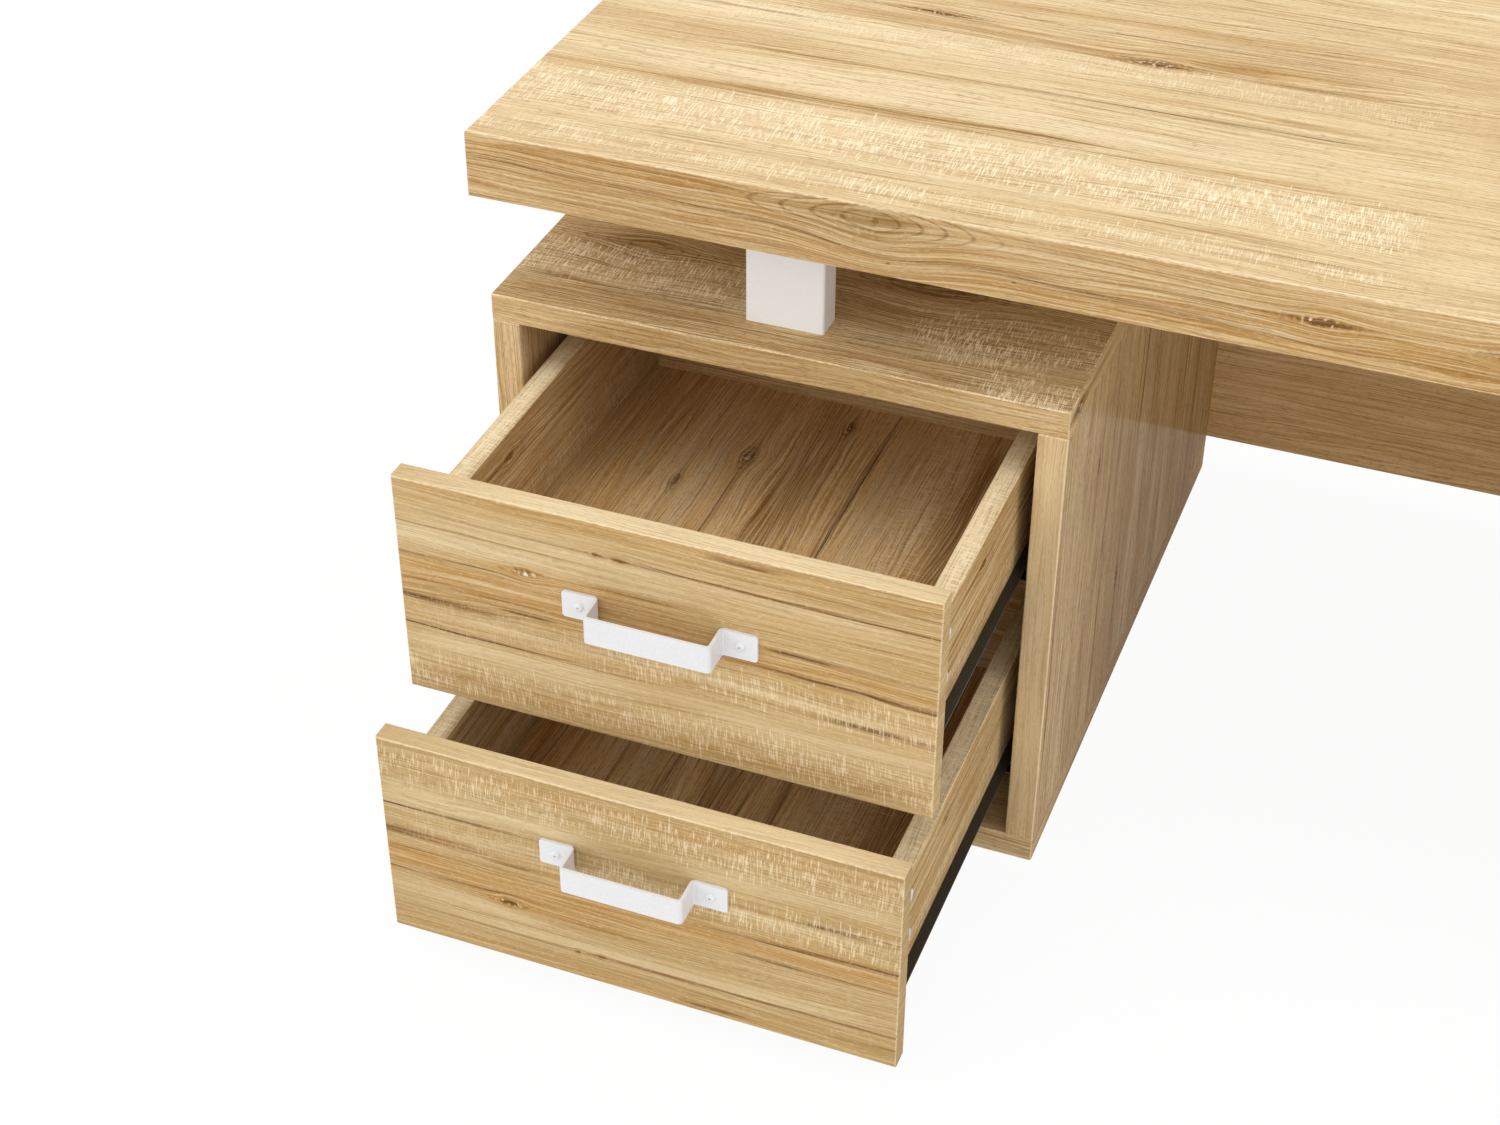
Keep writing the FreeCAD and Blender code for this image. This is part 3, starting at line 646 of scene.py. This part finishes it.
FRONT_FIGURE = {
    "pales": [(-60, 620, 214, 200, 10, 0.35), (-60, 300, 66, 60, 14, 0.45), (240, 620, 62, 56, 12, 0.4),
              (-60, 200, 190, 185, 8, 0.4), (-60, 620, 100, 98, 5, 0.3)],
    "bands": [(-200, 420, 150, 146, 22, 0.95), (240, 700, 140, 128, 16, 0.9), (60, 300, 172, 170, 6, 0.6),
              (-60, 620, 22, 16, 9, 0.5), (-60, 620, 243, 240, 6, 0.5)],
    "streaks": [(-60, 650, 216, 208, 2.0, 0.65), (130, 640, 214, 208, 1.5, 0.55),
                (300, 400, 241, 240, 2.2, 0.75), (440, 640, 232, 222, 1.8, 0.6),
                (-60, 190, 166, 164, 1.8, 0.8), (-80, 140, 116, 114, 4, 0.9),
                (300, 640, 132, 122, 3.0, 0.85), (360, 640, 154, 150, 1.8, 0.65),
                (-50, 300, 82, 78, 2.0, 0.65), (400, 620, 89, 86, 3.0, 0.7), (180, 300, 176, 175, 1.5, 0.55),
                (-60, 60, 19, 18, 2.0, 0.6), (-60, 240, 138, 130, 2.0, 0.55), (-60, 200, 128, 126, 2.0, 0.5),
                (80, 330, 104, 96, 2.0, 0.5), (200, 560, 226, 222, 1.4, 0.45),
                (-60, 250, 202, 198, 1.4, 0.45)],
    "lines": [(-60, 140, 166, 165, 0.9, 0.6), (-60, 56, 116, 114, 2.4, 0.9), (95, 170, 123, 121, 1.5, 0.8),
              (340, 620, 132, 122, 1.2, 0.9), (360, 450, 153, 152, 1.8, 0.9), (-60, 160, 82, 79, 1.0, 1.0),
              (425, 510, 90, 88, 2.2, 0.8), (310, 380, 242, 240, 1.3, 0.7), (140, 640, 212, 208, 0.8, 0.4)],
    "knots": [(134, 173, 16, 4), (230, 213, 9, 2.4), (206, 214, 6, 2)],
    "saw": [(-60, 620, 15, 46, 1.0), (250, 620, 88, 112, 0.9), (50, 250, 86, 110, 0.35)],
    "saw_depth": 0.5,
}
FRONT_TOP_FIGURE = {
    "pales": [(-100, 700, 9, 9, 30, 0.75)],
}
INNER_SIDE_FIGURE = {
    "pales": [(-60, 620, 60, 62, 16, 0.5), (-60, 620, 240, 238, 12, 0.35), (-60, 620, 700, 700, 14, 0.3)],
    "bands": [(-100, 620, 410, 402, 14, 0.7), (-50, 620, 330, 345, 12, 0.6), (-50, 620, 560, 565, 25, 0.5),
              (-50, 620, 8, 8, 8, 0.6), (-50, 620, 150, 146, 8, 0.4)],
    "streaks": [(60, 560, 13, 12, 4, 0.7), (250, 460, 146, 148, 3, 0.6), (-100, 640, 214, 211, 3, 0.7),
                (-100, 420, 302, 298, 5, 0.5), (300, 500, 338, 342, 5, 0.75), (-100, 330, 436, 435, 2, 0.7),
                (-100, 240, 500, 500, 2, 0.8), (-100, 640, 668, 664, 5, 0.5), (100, 600, 745, 750, 4, 0.5),
                (-50, 620, 104, 106, 2, 0.3), (-50, 620, 180, 178, 2, 0.35), (-50, 620, 380, 382, 3, 0.4)],
    "lines": [(-60, 230, 500, 500, 0.9, 0.7), (60, 420, 14, 13, 1.5, 0.6), (330, 470, 340, 342, 2, 0.7)],
    "knots": [(245, 211, 12, 4), (143, 298, 20, 5), (385, 149, 12, 4)],
}
PEDESTAL_TOP_FIGURE = {
    "vivid": 1.7,
    "bands": [(-60, 330, 45, 40, 14, 0.6), (-60, 400, 20, 15, 9, 0.5), (300, 660, 60, 70, 12, 0.5),
              (-60, 660, 190, 200, 30, 0.4)],
    "streaks": [(-60, 300, 60, 52, 3, 0.55), (100, 420, 30, 26, 3, 0.5), (330, 640, 84, 78, 3, 0.5),
                (350, 640, 95, 92, 2, 0.4), (-60, 300, 18, 22, 2, 0.4), (240, 640, 120, 126, 3, 0.4)],
    "swirls": [(112, 146, 46, 16), (420, 170, 60, 18)],
    "saw": [(-40, 227, 70, 130, 1.0), (453, 528, 50, 98, 1.0), (450, 660, 84, 140, 0.7),
            (527, 660, -20, 38, 0.9)],
    "saw_depth": 1.0,
}
PEDESTAL_TOP_END_FIGURE = {
    "streaks": [(-30, 180, 17, 15, 2.5, 0.5)],
    "knots": [(37, 16, 22, 7)],
}
SIDE_EDGE_FIGURE = {
    "vivid": 0.5,
    "pales": [(-60, 620, 15, 15, 60, 0.4)],
}
DRAWER_BOTTOM_FIGURE = {
    "pales": [(-60, 600, 150, 150, 15, 0.45), (-60, 600, 345, 345, 18, 0.35)],
    "bands": [(-60, 600, 245, 245, 17, 0.8), (-60, 600, 430, 427, 22, 0.9), (-60, 600, 40, 42, 10, 0.6)],
    "streaks": [(-60, 600, 243, 246, 15, 0.4), (100, 600, 432, 428, 18, 0.45), (-60, 300, 190, 186, 10, 0.3),
                (-60, 600, 308, 309, 4, 0.6), (-60, 600, 183, 186, 3, 0.6), (-60, 600, 127, 126, 2.5, 0.55),
                (200, 600, 262, 266, 3, 0.6), (-60, 600, 75, 77, 2, 0.45), (-60, 600, 232, 226, 3, 0.5),
                (-60, 600, 274, 272, 2.5, 0.45)],
    "lines": [(-60, 600, 312, 311, 1.3, 1.0), (-60, 340, 276, 274, 1.0, 0.6), (240, 420, 184, 183, 1.2, 0.6)],
    "knots": [(478, 265, 16, 5), (388, 183, 20, 8), (318, 127, 14, 4)],
    "saw": [(-60, 600, 362, 407, 1.0)],
    "saw_depth": 0.4,
}
DRAWER_SIDE_FIGURE = {
    "bands": [(-60, 330, 66, 62, 7, 0.7), (-60, 600, 128, 126, 6, 0.4)],
    "streaks": [(-60, 280, 112, 110, 2.2, 0.65), (-60, 170, 71, 83, 1.8, 0.7), (120, 380, 83, 82, 1.8, 0.6),
                (-60, 110, 57, 56, 1.8, 0.6), (-60, 400, 98, 94, 2, 0.35)],
    "lines": [(-40, 170, 72, 83, 0.9, 0.6), (90, 220, 110, 109, 1.0, 0.7)],
    "knots": [(150, 110, 12, 4)],
    "saw": [(-60, 600, 24, 50, 1.0)],
    "saw_depth": 0.45,
}
DRAWER_SIDE_TOP_FIGURE = {
    "pales": [(-60, 600, 6, 6, 9, 0.8), (-60, 600, 15, 15, 9, 0.6)],
    "saw": [(-60, 600, -30, 50, 1.0)],
    "saw_depth": 0.6,
}
MODESTY_FIGURE = {
    "bands": [(500, 1300, 470, 476, 12, 0.5), (500, 1300, 360, 352, 16, 0.5)],
    "streaks": [(500, 1300, 430, 436, 3, 0.5), (600, 1300, 398, 390, 3, 0.5)],
    "saw": [(560, 1250, 400, 450, 0.9), (100, 500, 160, 210, 0.8), (1300, 1750, 250, 300, 0.8)],
    "saw_depth": 0.5,
}


# Materials on the CAD's nodes
oak_x = plain_oak("oak_along_x", "x")
oak_z = plain_oak("oak_along_z", "z")
tongue_wood = plain_oak("tongue_wood", "y")
# Handles and spacers are one white paint in two copies: darker on the handles and screws as painted shade,
# brighter on the spacers as painted light against the desktop's shade.
handle_white_painted_shade = plain_finish("handle_white_painted_shade", colour(218, 218, 220), colour(224, 224, 226), 0.4)
spacer_white_painted_light = plain_finish("spacer_white_painted_light", colour(244, 244, 245), colour(249, 249, 250), 0.45)
black = plain_finish("black_runner_paint", colour(30, 27, 25), colour(44, 40, 37), 0.38)
zinc = plain_finish("zinc_casting", colour(204, 208, 224), colour(228, 231, 244), 0.35, metallic=0.3)
bolt_steel = plain_finish("plated_bolt", colour(150, 152, 156), colour(178, 180, 184), 0.3, metallic=1.0)
# By the ending of a node's name, the first one that fits.
FINISHES = {
    "_spacer": spacer_white_painted_light,
    "_handle": handle_white_painted_shade,
    "_runners": black,
    "_cams": zinc,
    "_bolts": bolt_steel,
    "_tongues": tongue_wood,
    "_outer_side": oak_z,
    "_pedestal_bottom": oak_x,
    "_pedestal_back": oak_z,
    "_back": oak_x,
}


def dress(node, made):
    """Give a CAD node its material."""
    frame["nodes"][node].material_slots[0].material = made


def dress_figured(board, grain, faces, **looks):
    """Give a board an oak of its own."""
    dress(board, figured_oak("oak_" + board, board, grain, faces, **looks))


def dress_plain():
    """Give the nodes that need no figure the finish of their kind."""
    for node in frame["nodes"]:
        for ending, made in FINISHES.items():
            if node.endswith(ending):
                dress(node, made)
                break


def dress_pedestal(side):
    """Give a pedestal's inner side and top their oak."""
    dress_figured(f"{side}_pedestal_inner_side", "z",
                  {("z", "y", "x"): INNER_SIDE_FIGURE, ("z", "x", "y"): SIDE_EDGE_FIGURE},
                  lift=0.15, vivid=1.5)
    dress_figured(f"{side}_pedestal_top", "x",
                  {("x", "y", "z"): PEDESTAL_TOP_FIGURE, ("y", "z", "x"): PEDESTAL_TOP_END_FIGURE},
                  vivid=0.9)


def dress_drawer(drawer):
    """Give a drawer's front, bottom and sides their oak. The lower fronts are darker and turned over."""
    lower = "lower" in drawer
    dress_figured(drawer + "_front", "x",
                  {("x", "z", "y"): FRONT_FIGURE, ("x", "y", "z"): FRONT_TOP_FIGURE},
                  stain=(OLIVE, 0.9 if lower else 0.55), vivid=0.6, upside_down=lower)
    dress_figured(drawer + "_bottom", "y", {("y", "x", "z"): DRAWER_BOTTOM_FIGURE},
                  stain=(AMBER, 0.5), vivid=1.2, sheen=0.04)
    for side in SIDES:
        dress_figured(f"{drawer}_{side}_side", "y",
                      {("y", "z", "x"): DRAWER_SIDE_FIGURE, ("y", "x", "z"): DRAWER_SIDE_TOP_FIGURE},
                      stain=(OLIVE, 0.5), sheen=0.04)


dress_plain()
dress_figured("desktop", "x", {("x", "y", "z"): TOP_FIGURE, ("x", "z", "y"): EDGE_FIGURE},
              lift=0.45, vivid=0.75, halves=True)
# The lift and the bright amber stain pale the modesty panel as painted light against its shade under the
# desktop.
dress_figured("modesty_panel", "x", {("x", "z", "y"): MODESTY_FIGURE},
              lift=0.6, stain=(AMBER, 0.5), sheen=0.06)
for side in SIDES:
    dress_pedestal(side)
for drawer in DRAWERS:
    dress_drawer(drawer)


# Small pieces that the frame lacks
SCREW_SPREAD = 80 * MM
SCREW_RADIUS = 4.9 * MM
SCREW_HEIGHT = 3 * MM
SCREW_RIM_SHARE = 0.3
SCREW_DOME_STEPS = 8
SCREW_RECESS = {"reach": 2.3 * MM, "width": 0.9 * MM, "top": 2 * SCREW_HEIGHT, "tip": 0.9 * MM}
SCREW_TURNS = {"left": 0.5, "right": 1.1}
HANDLE_STRIP = 3 * MM

CAM_RADIUS = 7.5 * MM
CAM_RIM = 1 * MM
CAM_PROUD = 0.5 * MM
CAM_DEPTH = 12 * MM
CAM_RECESS = {"reach": 4 * MM, "width": 1.6 * MM, "top": CAM_DEPTH, "tip": -3 * MM}
CAM_TURN = 0.6

PUNCH_TIP_REACH_SHARE = 0.45
PUNCH_TIP_WIDTH_SHARE = 0.78


def mesh_object(name, shape, made):
    """A new object from a built shape."""
    data = bpy.data.meshes.new(name)
    shape.to_mesh(data)
    shape.free()
    new = bpy.data.objects.new(name, data)
    bpy.context.scene.collection.objects.link(new)
    data.materials.append(made)
    return new


def turned(profile, segments=40):
    """A solid of revolution about Z from (radius, height) points that start and end on the axis."""
    shape = bmesh.new()
    rings = []
    for radius, height in profile:
        if radius == 0:
            rings.append([shape.verts.new((0, 0, height))])
            continue
        turns = [2 * math.pi * number / segments for number in range(segments)]
        rings.append([shape.verts.new((radius * math.cos(turn), radius * math.sin(turn), height))
                      for turn in turns])
    for low, high in zip(rings, rings[1:]):
        for number in range(segments):
            after = (number + 1) % segments
            corners = [low[number % len(low)], low[after % len(low)],
                       high[after % len(high)], high[number % len(high)]]
            distinct = list(dict.fromkeys(corners))
            shape.faces.new(distinct)
    bmesh.ops.recalc_face_normals(shape, faces=shape.faces)
    return shape


def crossed_punch(reach, width, top, tip):
    """Two crossed tapering blades that point down from a height to a tip."""
    shape = bmesh.new()
    for turn in (0, math.pi / 2):
        blade = bmesh.ops.create_cube(shape, size=1)["verts"]
        for vert in blade:
            if vert.co.z > 0:
                vert.co = Vector((vert.co.x * 2 * reach, vert.co.y * width, top))
            else:
                vert.co = Vector((vert.co.x * 2 * reach * PUNCH_TIP_REACH_SHARE,
                                  vert.co.y * width * PUNCH_TIP_WIDTH_SHARE, tip))
        bmesh.ops.rotate(shape, verts=blade, matrix=Matrix.Rotation(turn, 3, "Z"))
    return shape


def cut(solid, tool):
    """Take a tool's shape out of a solid, for good."""
    change = solid.modifiers.new("cut", "BOOLEAN")
    change.object = tool
    change.operation = "DIFFERENCE"
    change.solver = "EXACT"
    change.use_self = True
    bpy.context.view_layer.update()
    done = bpy.data.meshes.new_from_object(solid.evaluated_get(bpy.context.evaluated_depsgraph_get()))
    solid.modifiers.clear()
    solid.data = done
    bpy.data.objects.remove(tool)


def punched(name, profile, recess, made, sharp_from=math.radians(35)):
    """A turned piece with a crossed recess in its face, smooth but for its sharp edges."""
    piece = mesh_object(name, turned(profile), made)
    cut(piece, mesh_object(name + "_punch", crossed_punch(**recess), made))
    piece.data.shade_smooth()
    piece.data.set_sharp_from_angle(angle=sharp_from)
    return piece


def handle_screws(drawer):
    """The two pan head screws through a handle's feet."""
    low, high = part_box(drawer + "_handle")
    middle = (low + high) / 2
    dome = [(SCREW_RADIUS * math.cos(turn),
             SCREW_HEIGHT * (SCREW_RIM_SHARE + (1 - SCREW_RIM_SHARE) * math.sin(turn)))
            for turn in (math.pi / 2 * step / SCREW_DOME_STEPS for step in range(SCREW_DOME_STEPS))]
    profile = [(0, 0), (SCREW_RADIUS, 0), *dome, (0, SCREW_HEIGHT)]
    for side, shift in zip(SIDES, (-SCREW_SPREAD, SCREW_SPREAD)):
        head = punched(f"{drawer}_{side}_handle_screw", profile, SCREW_RECESS, handle_white_painted_shade)
        turn = Matrix.Rotation(math.pi / 2, 4, "X") @ Matrix.Rotation(SCREW_TURNS[side], 4, "Z")
        place = Vector((middle.x + shift, high.y - HANDLE_STRIP, middle.z))
        head.matrix_world = Matrix.Translation(place) @ turn
        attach(head, drawer)


def cam_locks(drawer):
    """The cams in a drawer's sides, each with a thin rim on the wood."""
    low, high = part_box(drawer + "_cams")
    reach = CAM_RADIUS + CAM_RIM
    profile = [(0, -CAM_DEPTH), (CAM_RADIUS, -CAM_DEPTH), (CAM_RADIUS, 0), (reach, 0),
               (reach - CAM_PROUD, CAM_PROUD), (0, CAM_PROUD)]
    for side, x, facing in (("left", low.x, -1), ("right", high.x, 1)):
        turn = Matrix.Rotation(facing * math.pi / 2, 4, "Y") @ Matrix.Rotation(CAM_TURN, 4, "Z")
        for level, z in (("lower", low.z + CAM_RADIUS), ("upper", high.z - CAM_RADIUS)):
            disc = punched(f"{drawer}_{side}_{level}_cam", profile, CAM_RECESS, zinc)
            disc.matrix_world = Matrix.Translation(Vector((x, (low.y + high.y) / 2, z))) @ turn
            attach(disc, drawer)
            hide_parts(drawer + "_cams")


for drawer in DRAWERS:
    handle_screws(drawer)
    cam_locks(drawer)


# Studio
FLOOR_COLOUR = (0.9, 0.9, 0.9, 1.0)
FLOOR_SHOWN_SHARE = 0.95
FLOOR_REACH = 20
FLOOR_DROP = 0.5 * MM
SKY_COLOUR = (1.0, 1.0, 1.0, 1.0)
SKY_STRENGTH = 0.9
# Each soft lamp's name, azimuth from the front towards the right, elevation and strength.
LAMPS = (
    ("low_front", 0, 12, 0.3),
    ("left_front", -45, 35, 0.45),
    ("right", 90, 30, 0.45),
    ("above", 0, 85, 0.55),
)
LAMP_SOFTNESS = math.radians(50)
LAMP_DISTANCE = 5


def seen_rays(graph):
    """1 for the rays that show a background: the camera's and those of mirrors and glass."""
    path = graph.node("LightPath").outputs
    shown = graph.math("MAXIMUM", path["Is Glossy Ray"], path["Is Transmission Ray"])
    return graph.math("MAXIMUM", path["Is Camera Ray"], shown)


def floor():
    """A pale floor that shows nearly white and keeps the desk's shadow."""
    made, graph = new_material("studio_floor")
    lit = graph.node("BsdfDiffuse")
    graph.feed(lit.inputs["Color"], FLOOR_COLOUR)
    mix = graph.node("MixShader")
    graph.feed(mix.inputs[0], graph.scaled(seen_rays(graph), FLOOR_SHOWN_SHARE))
    graph.feed(mix.inputs[1], lit.outputs[0])
    graph.feed(mix.inputs[2], graph.node("Emission").outputs[0])
    end = graph.node("OutputMaterial")
    graph.feed(end.inputs[0], mix.outputs[0])
    shape = bmesh.new()
    bmesh.ops.create_grid(shape, x_segments=1, y_segments=1, size=FLOOR_REACH)
    laid = mesh_object("studio_floor", shape, made)
    laid.location.z = -FLOOR_DROP


def sky():
    """An even pale sky that shows as white."""
    world = bpy.data.worlds.new("studio")
    world.use_nodes = True
    world.node_tree.nodes.clear()
    graph = Graph(world.node_tree)
    light = graph.node("Background")
    graph.feed(light.inputs["Strength"], graph.scaled(seen_rays(graph), 1 - SKY_STRENGTH, SKY_STRENGTH))
    graph.feed(light.inputs["Color"], SKY_COLOUR)
    end = graph.node("OutputWorld")
    graph.feed(end.inputs[0], light.outputs[0])
    bpy.context.scene.world = world


def soft_lamp(name, azimuth, elevation, strength):
    """A wide sun that shines from an azimuth and elevation in degrees."""
    azimuth, elevation = math.radians(azimuth), math.radians(elevation)
    toward = Vector((math.cos(elevation) * math.sin(azimuth), -math.cos(elevation) * math.cos(azimuth),
                     math.sin(elevation)))
    data = bpy.data.lights.new(name, "SUN")
    data.energy = strength
    data.angle = LAMP_SOFTNESS
    lamp = bpy.data.objects.new(name, data)
    lamp.location = LAMP_DISTANCE * toward
    lamp.rotation_mode = "QUATERNION"
    lamp.rotation_quaternion = toward.to_track_quat("Z", "Y")
    bpy.context.scene.collection.objects.link(lamp)


# Camera
# Its place is measured from the desktop's left front corner and up from the floor.
CAMERA_RIGHT = 1.0481
CAMERA_FORWARD = 1.9258
CAMERA_HEIGHT = 1.8514
CAMERA_AZIMUTH = math.radians(21.37)
CAMERA_ELEVATION = math.radians(36.64)
CAMERA_LENS = 60.16
CAMERA_SENSOR = 36.0


def place_camera():
    """The camera at the photo's viewpoint."""
    data = bpy.data.cameras.new("camera")
    data.lens = CAMERA_LENS
    data.sensor_width = CAMERA_SENSOR
    data.sensor_fit = "HORIZONTAL"
    camera = bpy.data.objects.new("camera", data)
    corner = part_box("desktop")[0]
    camera.location = (corner.x + CAMERA_RIGHT, corner.y - CAMERA_FORWARD, CAMERA_HEIGHT)
    camera.rotation_euler = (math.pi / 2 - CAMERA_ELEVATION, 0, CAMERA_AZIMUTH)
    bpy.context.scene.collection.objects.link(camera)
    bpy.context.scene.camera = camera


floor()
sky()
for lamp in LAMPS:
    soft_lamp(*lamp)
place_camera()
bpy.context.scene.view_settings.view_transform = "Standard"
